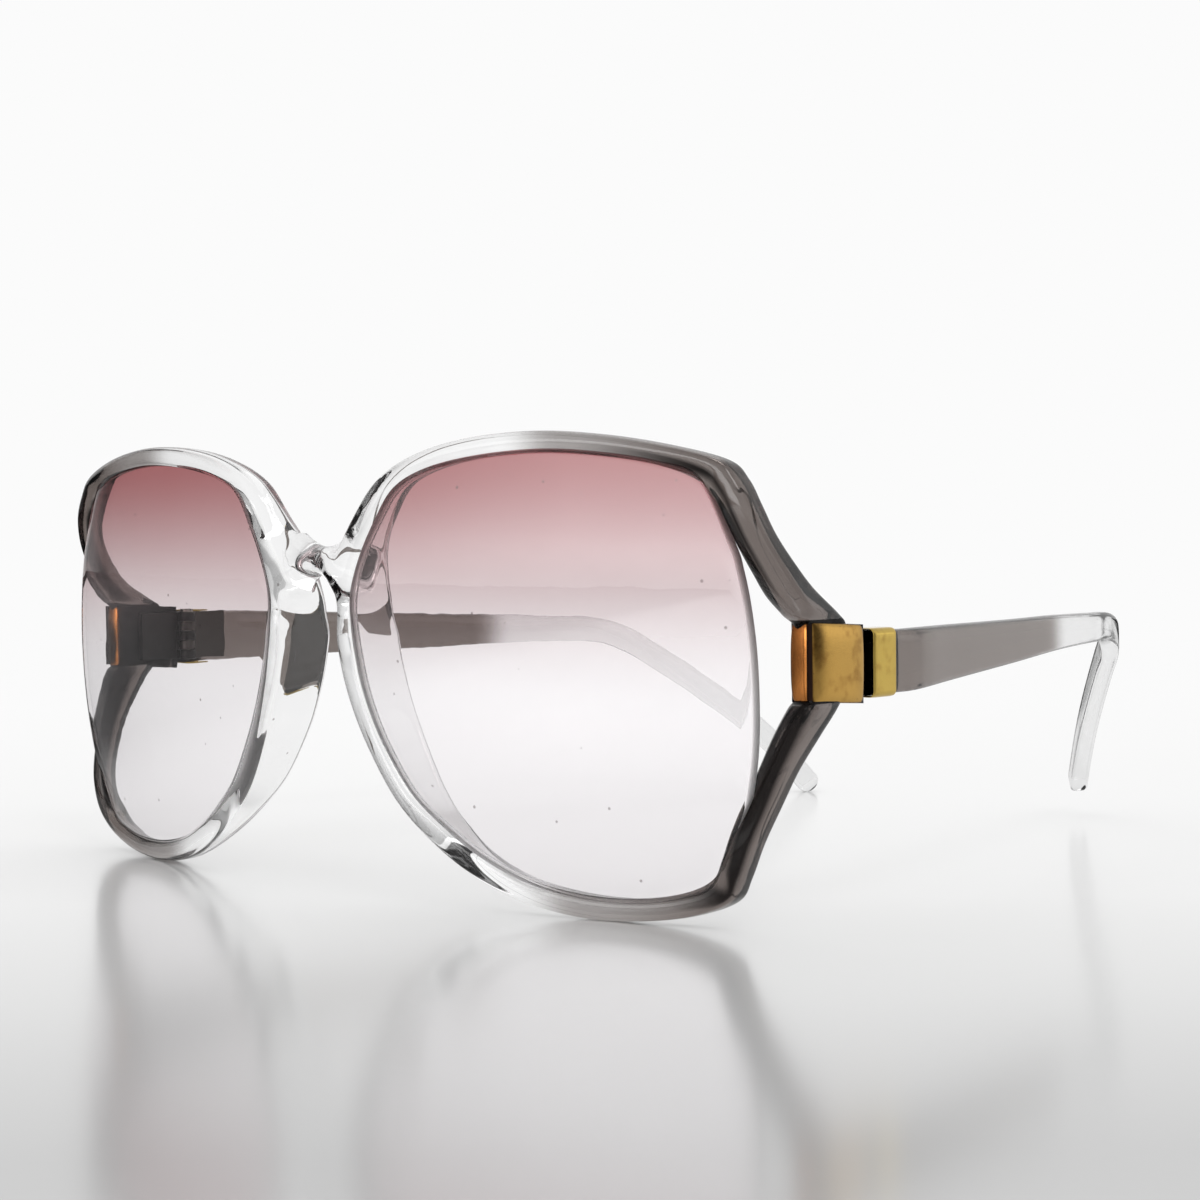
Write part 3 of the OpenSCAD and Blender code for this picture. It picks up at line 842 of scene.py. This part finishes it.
@dataclass
class FrontFrame:
    """The one-piece moulded front: two rims with nose pads and forked struts, the bridge and the end cores.

    The painted dark shade on the struts fades out along the upper strut over the stations upper_fade, along the lower
    one over lower_fade.
    """

    outfit: Outfit
    row_steps: int = 9
    section_steps: int = 4
    bridge_stations: int = 49
    upper_fade: Pair = (10.5, 8.0)
    lower_fade: Pair = (27.2, 29.2)
    core_mark: float = 1.6
    bridge_edge: float = 0.55
    melt_rounds: int = 34
    cut_past: float = 0.2

    def rim(self) -> tuple[Array, Array]:
        """The right rim. At each row the section lies across the rim's width, from its inner edge, and goes back
        from the ball: place = inner + width * (1 + s * narrow) / 2, depth = front + depth share * own depth + pad.
        The struts are marked with painted shade: a dark band at the front of their section, for the dark of internal
        reflection, up to a reach across it.

        Returns:
            The rim's rings of points, and the share of painted shade at each point.
        """
        rows = smooth_rows(RING_ROWS, self.row_steps)
        section = smooth_rows(SECTION_ROWS, self.section_steps)
        inner = rows[:, :2] * [S.eye_w, S.eye_h] + [S.nasal_x, S.rim_w]
        across = rows[:, 2:4] * S.rim_w
        middle = inner + across / 2
        front = S.ball(middle[:, 0], middle[:, 1]) + rows[:, 4] * S.sweep
        narrow = 1 - S.pad_taper * rows[:, 6:7] * section[None, :, 2]
        place = inner[:, None] + across[:, None] * ((1 + section[None, :, 0] * narrow) / 2)[..., None]
        depth = (front[:, None] + section[None, :, 1] * (S.rim_d * rows[:, 5:6])
                 + section[None, :, 2] * ((S.pad_d - S.rim_d) * rows[:, 6:7]))
        # painted shade: a dark band at the front of the strut sections, for the dark of internal reflection
        station = np.arange(len(rows)) / self.row_steps
        upper, lower = step(station, *self.upper_fade), step(station, *self.lower_fade)
        reach = 0.85 * lower + 0.10 * upper
        dark = step(section[None, :, 0] - reach[:, None], 0.22, -0.10) * step(section[:, 1], 0.66, 0.40)
        return np.stack([place[..., 0], depth, place[..., 1]], -1), np.maximum(upper, lower)[:, None] * dark

    def bar(self) -> Array:
        """The bridge bar: at x the bar reaches from the arch, which falls with the square of x, to its top, which
        rises with the square of x, and its section goes back from the ball.

        Returns:
            The bar's rings of points.
        """
        half = S.nasal_x * S.bridge_half_share
        x = np.linspace(-half, half, self.bridge_stations)[:, None]
        section = smooth_rows(BRIDGE_ROWS, 4)
        low = S.arch_top - S.arch_drop * half * (x / half) ** 2
        high = S.bridge_top + S.bridge_rise * half * (x / half) ** 2
        z = low + section[None, :, 1] * (high - low)
        y = S.ball(x, z) + S.bridge_set + section[None, :, 0] * (S.bridge_d - S.bridge_set)
        return np.stack([np.broadcast_to(x, z.shape), y, z], -1)

    def end_slab(self, start: float, width: float, front: float, back: float, high: float) -> Array:
        """A slab of an end piece as two rings of four points, placed from the front and inner face of that."""
        z = np.array([-high, -high, high, high]) / 2
        return at_end(np.array([[start], [start + width]]), np.array([front, back, back, front]), z)

    def bridge_reach(self, place: Array) -> Array:
        """How far each place belongs to the bridge and its roots, 0 to 1."""
        return step(np.abs(place[:, 0]), 15.0, 9.5) * step(place[:, 2], 35.0, 39.0) * step(place[:, 2], 57.0, 51.0)

    def build(self) -> None:
        """Makes the front: rims, bridge and end cores united, and the lens grooves and the gilt's beds cut out."""
        rings, shares = self.rim()
        front, *extra = (tube(f"rim_{side.word}", side, rings, closed=True) for side in Side)
        extra.append(tube("bridge_bar", Side.RIGHT, self.bar()))
        cutters = []
        bed, high = S.end_w - S.trim_t, S.end_h + self.cut_past
        for side in Side:
            extra.append(tube(f"end_core_{side.word}", side, self.end_slab(0, bed, S.trim_t, S.end_d, S.end_h)))
            cutters += [
                tube(f"front_plate_{side.word}", side, self.end_slab(-0.01, S.end_w + 1, 0, S.trim_t, high)),
                tube(f"side_plate_{side.word}", side, self.end_slab(bed, 1, -1, S.end_d, high)),
                Lens(self.outfit, side).sheet(f"groove_{side.word}", S.groove_clear)]
        front.name = front.data.name = "moulded_front"
        known = points_of(front.data)
        combine(front, extra, "UNION")
        even_out(front.data, self.bridge_reach, self.bridge_edge)
        melt(front.data, self.bridge_reach(points_of(front.data) / MM) * 0.6, self.melt_rounds)
        combine(front, cutters, "DIFFERENCE")
        place = points_of(front.data)
        # the rims' painted shade, carried over to the united front; the end cores are marked above 1
        shares = nearest(place * np.where(place[:, :1] < 0, [-1, 1, 1], 1), known, shares.ravel())
        place = place / MM
        core = (np.abs(place[:, 0]) > S.end_x - 0.2) & (np.abs(place[:, 2] - S.end_z) < S.end_h / 2 + 0.25)
        mark(front.data, np.maximum(shares, core * self.core_mark))
        settle(front, "front", "front_frame", "clear_front", 38.0, self.outfit.front)


@dataclass
class Lens:
    """A rose reading lens, bent to the front's ball, with an eased edge."""

    outfit: Outfit
    side: Side
    steps: int = 8
    rings: int = 22
    ease: float = 0.16
    edge_facing: float = 0.62

    def outline(self, grow: float) -> tuple[Array, Array]:
        """The lens's edge: in the groove a set depth outside the opening, and its own curve between the struts.

        Args:
            grow: How far it is grown outward.

        Returns:
            The points across and up the face, and the outward direction at each.
        """
        held = RING_ROWS[GROOVE_ROWS]
        place = held[:, :2] * [S.eye_w, S.eye_h] + S.groove_d * direction(held[:, 2:4])
        free = FREE_EDGE_ROWS[::-1] * [S.eye_w, S.eye_h]
        edge = smooth_rows(np.vstack([place, free]) + [S.nasal_x, S.rim_w], self.steps)
        along = direction(np.roll(edge, -1, 0) - np.roll(edge, 1, 0))
        out = np.stack([along[:, 1], -along[:, 0]], -1)
        if ((edge - edge.mean(0)) * out).sum() < 0:
            out = -out
        return edge + out * grow, out

    def sheet(self, name: str, grow: float) -> Item:
        """The lens as a closed sheet: from the front's middle out to the edge, over it and back to the middle.
        Depth is that of two balls about one centre, the lens's thickness apart. A grown one has a sharp edge.

        Args:
            name: Name of the object.
            grow: How much it is grown all round.

        Returns:
            The object.
        """
        edge, out = self.outline(grow)
        middle = edge.mean(0)
        spread = np.linspace(0.04, 1, self.rings)
        turn = np.linspace(0, math.pi / 2, 5)[1:]
        ease, over, under = (0.0, turn[:0], turn[-1:]) if grow else (self.ease, turn, turn)
        thick = S.lens_t + 2 * grow
        inset = ease * np.concatenate([np.ones(self.rings), 1 - np.sin(over), 1 - np.cos(under),
                                       np.ones(self.rings - 1)])
        share = np.concatenate([spread, np.ones(len(over) + len(under)), spread[-2::-1]])
        through = np.concatenate([np.zeros(self.rings), ease * (1 - np.cos(over)),
                                  thick - ease * (1 - np.sin(under)), np.full(self.rings - 1, thick)])
        place = middle + (edge[None] - out[None] * inset[:, None, None] - middle) * share[:, None, None]
        depth = S.ball(place[..., 0], place[..., 1], S.lens_set - grow, through[:, None])
        return tube(name, self.side, np.stack([place[..., 0], depth, place[..., 1]], -1))

    def build(self) -> None:
        """Makes the lens; faces that look sideways get the ground edge's finish."""
        lens = self.sheet(f"reading_lens_{self.side.word}", 0.0)
        settle(lens, "front", f"lens_{self.side.word}", "rose_lens", 50.0, self.outfit.lens, self.outfit.ground)
        facing = np.empty(len(lens.data.polygons) * 3)
        lens.data.polygons.foreach_get("normal", facing)
        ground = np.abs(facing[1::3]) < self.edge_facing
        lens.data.polygons.foreach_set("material_index", ground.astype(np.int32))


@dataclass
class EndTrim:
    """The gilt trim of an end piece: two pillowed plates with a dark groove down the corner between them."""

    outfit: Outfit
    side: Side
    count: int = 40
    power: float = 2.4
    bulge: float = 0.22
    corner: float = 0.34
    groove_half: Pair = (0.17, 0.42)
    groove_set: float = 0.5
    groove_high: float = 0.94

    def plate(self, name: str, wide: Pair, on_side: bool) -> Item:
        """A pillowed plate on the front or the outer side of the end piece. u runs across it and v up it, both from
        -1 to 1, and its face stands out by thickness * (1 - |u|^p)^(1/3) * (1 - |v|^p)^(1/3). Its upright edges
        bow out by a bulge at mid height, and its corners are cut back by the 16th power of v. The mark is painted
        dark shade round the plate and, on the side, tarnish over the upper part of its front edge.

        Args:
            name: Name of the object.
            wide: Where it begins and ends across.
            on_side: True for the plate on the outer side.

        Returns:
            The object.
        """
        n = self.count
        t = np.sin(np.linspace(-math.pi / 2, math.pi / 2, n))
        u, v = np.meshgrid(t, t, indexing="ij")
        lift = ((1 - np.abs(u) ** self.power).clip(0) * (1 - np.abs(v) ** self.power).clip(0)) ** (1 / 3)
        out = np.stack([S.trim_t * lift, np.zeros_like(lift)])
        middle, half = (wide[0] + wide[1]) / 2, (wide[1] - wide[0]) / 2
        across = middle + u * (half - self.bulge * np.abs(v) ** 2.5 - self.corner * np.abs(v) ** 16)
        up = v * S.end_h / 2 * (1 - 0.015 * np.abs(u) ** 4)
        x, y = (S.end_w - S.trim_t + out, across) if on_side else (across, S.trim_t - out)
        faces = grid_faces(n, n, wrap_columns=False)
        edge = np.concatenate([np.arange(n) * n, (n - 1) * n + np.arange(1, n), np.arange(n - 2, -1, -1) * n + n - 1,
                               np.arange(n - 2, 0, -1)])
        ahead = np.roll(edge, -1)
        wall = np.stack([edge, ahead, ahead + n * n, edge + n * n], -1)
        # painted shade: a dark outline round the edges of the plate
        rim = np.maximum(step(np.abs(t), 0.90, 1.0)[:, None], step(np.abs(t), 0.955, 1.0)[None, :])
        if on_side:
            # tarnish over the upper part of the side plate's front edge
            rim = np.maximum(rim, 0.75 * step(t, -0.45, -0.82)[:, None] * step(t, -0.35, 0.45)[None, :])
        return solid(name, self.side, at_end(x, y, up), np.concatenate([faces[:, ::-1], faces + n * n, wall]).tolist(),
                     np.stack([rim, rim]))

    def groove(self, name: str) -> Item:
        """The dark strip in the groove, an upright bar with a rounded square section."""
        ring = superellipse(32, 6.0) * self.groove_half + [S.end_w - S.trim_t + self.groove_half[0], self.groove_set]
        z = np.linspace(-self.groove_high / 2, self.groove_high / 2, 9)[:, None] * S.end_h
        return tube(name, self.side, at_end(ring[:, 0], ring[:, 1], z))

    def build(self) -> None:
        """Makes the trim and its groove."""
        word = self.side.word
        front = self.plate(f"gilt_front_plate_{word}", (0.0, S.end_w - 0.32), False)
        wall = self.plate(f"gilt_side_plate_{word}", (S.trim_notch, S.end_d), True)
        groove = self.groove(f"corner_groove_{word}")
        for item, finish in ((front, self.outfit.shaded_front_gilt), (wall, self.outfit.side_gilt),
                             (groove, self.outfit.lacquer)):
            settle(item, "front", f"end_trim_{word}", "gilt", 50.0, finish)


@dataclass
class Temple:
    """A temple in one piece with its ear-piece, with the gilt sleeve on its end."""

    outfit: Outfit
    side: Side
    row_steps: int = 10
    section_steps: int = 5
    sleeve_clear: Pair = (0.05, 0.07)
    sleeve_bend: float = 0.75

    def bar(self) -> Array:
        """The temple. Its middle line leans inward, runs back and drops to the table; past the hinge the right one
        climbs in proportion to its run. Its section lies across that line, and at the tip it moves on by the sine
        of a turn while it shrinks by the cosine, which makes a round end.

        Returns:
            The rings of points.
        """
        rows = smooth_rows(TEMPLE_ROWS, self.row_steps, closed=False)
        lift = S.ear_lift if self.side is Side.RIGHT else 0.0
        climb = lift / (S.temple_l + S.ear_back - S.fixed_run)
        run = S.temple_l * rows[:, 0] + S.ear_back * rows[:, 2]
        tip = S.temple_h * TEMPLE_ROWS[-1, 4] / 2
        centre = np.stack([
            S.end_x + S.temple_t / 2 - S.toe_in * rows[:, 1] - S.ear_in * rows[:, 2],
            S.joint_y + run,
            S.temple_z - (S.temple_z - tip) * rows[:, 3] + climb * np.maximum(run - S.fixed_run, 0)], -1)
        half = rows[:, 5:3:-1] * [S.temple_t, S.temple_h] / 2
        along = direction(np.vstack([centre[1:], centre[-1:]]) - np.vstack([centre[:1], centre[:-1]]))
        along[0] = [0, 1, 0]
        turn = np.radians(np.linspace(8, 84, 10))
        centre = np.vstack([centre, centre[-1] + along[-1] * tip * np.sin(turn)[:, None]])
        half = np.vstack([half, half[-1] * np.cos(turn)[:, None]])
        along = np.vstack([along, np.repeat(along[-1:], len(turn), 0)])
        out = direction(np.stack([along[:, 1], -along[:, 0], np.zeros(len(along))], -1))
        up = np.cross(out, along)
        reach = smooth_rows(TEMPLE_SECTION, self.section_steps)[None] * half[:, None]
        return centre[:, None] + out[:, None] * reach[..., :1] + up[:, None] * reach[..., 1:]

    def sleeve(self) -> Array:
        """The gilt sleeve: a thin rounded strip carried round the temple's top, outer side and bottom.

        Returns:
            The rings of points, from the top inner end to the bottom inner end.
        """
        wall, r = S.sleeve_t, self.sleeve_bend
        outer = S.temple_t + self.sleeve_clear[0] + wall / 2
        half = S.temple_h / 2 + self.sleeve_clear[1] + wall / 2
        bend = np.radians(np.linspace(0, 90, 9))
        top = np.stack([np.linspace(0, outer - r, 8)[:-1], np.full(7, half)], -1)
        corner = np.stack([outer - r + r * np.sin(bend), half - r + r * np.cos(bend)], -1)
        side = np.stack([np.full(9, outer), np.linspace(half - r, -half + r, 11)[1:-1]], -1)
        path = np.vstack([top, corner, side, corner[::-1] * [1, -1], top[::-1] * [1, -1]])
        along = direction(np.gradient(path, axis=0))
        out = np.stack([-along[:, 1], along[:, 0]], -1)
        strip = superellipse(24, 4.0) * [wall / 2, S.sleeve_l / 2]
        place = path[:, None] + out[:, None] * strip[None, :, 0:1]
        y = np.broadcast_to(strip[None, :, 1] + S.joint_y + S.sleeve_l / 2, place.shape[:2])
        return np.stack([place[..., 0] + S.end_x, y, place[..., 1] + S.temple_z], -1)

    def build(self) -> None:
        """Makes the temple and its sleeve."""
        word = self.side.word
        for rings, name, finish, node, slot in (
                (self.bar(), "temple_bar", self.outfit.temple, "temple", "smoke_temple"),
                (self.sleeve(), "gilt_sleeve", self.outfit.sleeve_gilt, "temple_sleeve", "gilt")):
            settle(tube(f"{name}_{word}", self.side, rings), f"{word}_temple", f"{node}_{word}", slot, 45.0, finish)


@dataclass
class Hinges:
    """The five-barrel hinges and their screws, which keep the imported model's own shapes."""

    outfit: Outfit

    def dress_all(self) -> None:
        """Gives the leaves and screws their metal."""
        for side in Side:
            for part, finish in (("front", self.outfit.steel), ("temple", self.outfit.leaf),
                                 ("screw", self.outfit.screw)):
                dress(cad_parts[f"hinge_{part}_{side.word}"], finish)


# ---------------------------------------------------------------- studio


def aim(item: Item, *columns: Array) -> None:
    """Turns an object to its right, up and backward directions and puts it at its place."""
    matrix = np.eye(4)
    matrix[:3] = np.stack(columns, 1)
    item.matrix_world = Matrix(matrix)


@dataclass(frozen=True)
class Studio:
    """The table, the light and the camera.

    The tones are the table's greys by the distance in metres from the camera, darker near it: painted fall-off of
    light. The room's walls are greys by the angle round the object, which gilt, lenses and table mirror; walls above
    white are bright panels, low in the room.
    """

    focal_px: float = 2532.479
    picture_px: float = 1200.0
    film: float = 36.0
    turn: float = 0.75422
    tilt: float = 0.03078
    roll: float = -0.00940
    stand: Triple = (263.934, -222.071, 50.3184)
    table_half: float = 6.0
    table_drop: float = 0.00004
    polish: float = 0.55
    haze_far: Pair = (0.42, 1.10)
    dark_table: Pair = (-90.0, -190.0)
    white: float = 0.965
    fill: float = 0.80
    zenith: float = 0.60
    falloff_tones: tuple[Pair, ...] = (
        (0.20, 0.635), (0.266, 0.79), (0.337, 0.91), (0.458, 0.945), (0.715, 0.98), (1.0, 1.0))
    room: tuple[Pair, ...] = (
        (-180, 0.99), (-95, 0.99), (-86, 0.10), (-72, 0.17), (-59, 0.34), (-50, 0.52), (-43, 0.95), (-29.6, 2.7),
        (-19.5, 3.9), (-3.6, 4.2), (7, 3.9), (21, 0.99), (108, 0.99), (117, 0.36), (135.2, 0.36), (138, 1.35),
        (144, 1.35), (155, 0.99), (180, 0.99))

    def axes(self) -> tuple[Array, Array, Array]:
        """The camera's right, up and backward directions from its turn, tilt and roll."""
        back = np.array([math.sin(self.turn) * math.cos(self.tilt), -math.cos(self.turn) * math.cos(self.tilt),
                         math.sin(self.tilt)])
        level = np.array([math.cos(self.turn), math.sin(self.turn), 0.0])
        rise = np.cross(back, level)
        right = math.cos(self.roll) * level + math.sin(self.roll) * rise
        return right, np.cross(back, right), back

    def camera(self) -> None:
        """Sets the camera at the photograph's place, with its frame width in focal lengths."""
        data = bpy.data.cameras.new("picture_camera")
        data.sensor_width = self.film
        data.lens = self.focal_px / self.picture_px * self.film
        data.clip_start, data.clip_end = 0.01, 100.0
        item = link("picture_camera", data)
        aim(item, *self.axes(), (np.array(self.stand) - [0, S.middle_y, 0]) * MM)
        bpy.context.scene.camera = item

    def gloss(self, b: Bench) -> Wire:
        """The table's finish: matt and gloss mixed, paler with distance (painted light fall-off), and pure white haze
        far off. In mirror images it has painted shade on the far side; seen through plastic, less so.

        Args:
            b: The material's bench.

        Returns:
            The shader.
        """
        x, y, _ = b.axes()
        back = self.axes()[2]
        start = float(np.dot(back[:2], self.stand[:2]) + back[1] * -S.middle_y)
        far = (x * float(-back[0]) + y * float(-back[1]) + start) / 1000.0
        # painted light fall-off: the table's grey rises from near the camera to far off
        falloff_tone = b.wire("ValToRGB", {0: far}, stops=self.falloff_tones)
        near = b.mix(self.polish, b.wire("BsdfDiffuse", {"Color": falloff_tone}),
                     b.wire("BsdfGlossy", {"Color": falloff_tone, "Roughness": 0.17}))
        haze = b.wire("Emission", {"Color": (self.white,) * 3, "Strength": 1.0})
        path = b.node("LightPath").outputs
        # painted shade: the table goes dark on its far side where it is seen in mirror images, less through plastic
        mirrored = Wire(b, path["Glossy Depth"]).at_most(1.0) * (1 - Wire(b, path["Is Transmission Ray"]) * 0.7)
        shade = b.wire("BsdfDiffuse", {"Color": (0.04,) * 3})
        return b.mix(mirrored * x.between(*self.dark_table), b.mix(far.between(*self.haze_far), near, haze), shade)

    def table(self) -> None:
        """The pale glossy table."""
        half, z = self.table_half, -self.table_drop
        mesh = bpy.data.meshes.new("table_top")
        mesh.from_pydata([(-half, -half, z), (half, -half, z), (half, half, z), (-half, half, z)], [], [(0, 1, 2, 3)])
        item = link("table_top", mesh)
        item.data.materials.append(new_material("table_gloss", self.gloss))

    def world(self) -> None:
        """The room: white for the camera, white between dark flags for what is seen through the object, and the
        walls for mirror images; a mirror image that is seen through plastic has half of each."""
        world = bpy.data.worlds.new("studio")
        bpy.context.scene.world = world
        world.use_nodes = True
        b = Bench(world.node_tree)
        way = b.wire("TexCoord", None, "Generated")
        back = self.axes()[2]
        onward = b.wire("VectorMath", {0: way, 1: (-back[0], -back[1], 0.0)}, "Value", operation="DOT_PRODUCT")
        path = b.node("LightPath").outputs
        seen, through, mirrored = (
            Wire(b, path[name]) for name in ("Is Camera Ray", "Is Transmission Ray", "Glossy Depth"))
        mirrored = mirrored.at_most(1.0)
        both = through * mirrored * 0.5
        through, mirrored = through - both, mirrored - both
        flags = 0.62 + abs(onward).between(0.10, 0.55) * 0.345
        x, y, rise = b.split(way)
        turn = b.sum("ARCTAN2", x, 0.0 - y) / math.tau + 0.5
        room = b.wire("ValToRGB", {0: turn}, stops=[(0.5 + angle / 360.0, grey) for angle, grey in self.room])
        flank = room.at_most(self.white)
        flank = flank + (self.zenith - flank) * rise.between(0.45, 0.90)
        panel = (room - self.white).at_least(0.0) * rise.between(-0.02, 0.06) * rise.between(0.30, 0.20)
        level = self.fill + through * (flags - self.fill) + mirrored * (flank + panel - self.fill)
        level = level + seen * (self.white - level)
        b.node("OutputWorld", {"Surface": b.wire("Background", {"Color": (1.0, 1.0, 1.0), "Strength": level})})

    def lamps(self) -> None:
        """A broad soft lamp above and a small one that draws the highlights."""
        for name, place, size, power in (("sky_panel", (-0.25, 0.15, 0.75), 0.7, 1.2),
                                         ("key_panel", (0.45, -0.25, 0.55), 0.18, 0.5)):
            data = bpy.data.lights.new(name, "AREA")
            data.size, data.energy = size, power
            way = direction(np.array(place) - [0.0, -0.03, 0.03])
            side = direction(np.cross([0, 0, 1.0], way))
            aim(link(name, data), side, np.cross(way, side), way, np.array(place))

    def build(self) -> None:
        """Sets everything up."""
        self.camera()
        self.table()
        self.world()
        self.lamps()
        bpy.context.scene.view_settings.view_transform = "Standard"


def main() -> None:
    """Builds the sunglasses and the studio."""
    logging.basicConfig(level=logging.INFO, format="%(message)s")
    outfit = Outfit()
    FrontFrame(outfit).build()
    for side in Side:
        Lens(outfit, side).build()
        EndTrim(outfit, side).build()
        Temple(outfit, side).build()
    Hinges(outfit).dress_all()
    Studio().build()


if __name__ == "__main__":
    main()
